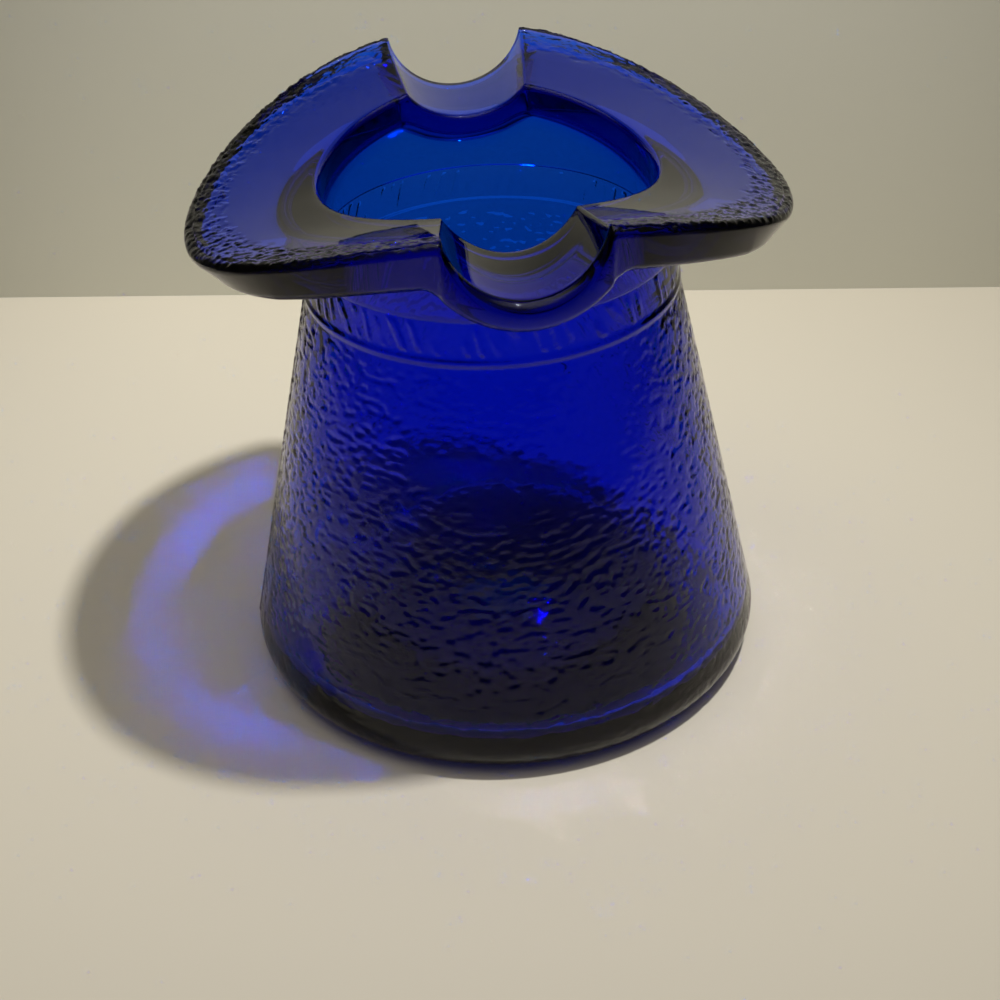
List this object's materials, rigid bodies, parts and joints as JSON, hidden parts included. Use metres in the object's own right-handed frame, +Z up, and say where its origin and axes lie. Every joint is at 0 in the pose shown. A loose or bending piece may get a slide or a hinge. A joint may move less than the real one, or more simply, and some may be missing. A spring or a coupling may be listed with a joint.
{
  "type": "glass hat",
  "caption": "Small moulded-glass hat that stands on its crown, open at the top, with a saddle-shaped brim and half-round rests; holds small things or serves as an ashtray.",
  "frame": {"origin": "middle of the flat foot, on the table", "axes": "+Z up out of the mouth; the brim's drooping tips lie along X and the two rests along Y, with the front rest at -Y"},
  "size_m": [0.0536, 0.05, 0.0533],
  "materials": {
    "cobalt_glass": "moulded glass, fire-polished, with a wrinkled bark texture on the crown and a stippled border on the brim"
  },
  "bodies": {
    "root": {"base": "cobalt_glass", "crown": "cobalt_glass", "hat_band": "cobalt_glass", "left_brim": "cobalt_glass", "right_brim": "cobalt_glass", "front_rest": "cobalt_glass", "back_rest": "cobalt_glass"}
  },
  "joints": []
}
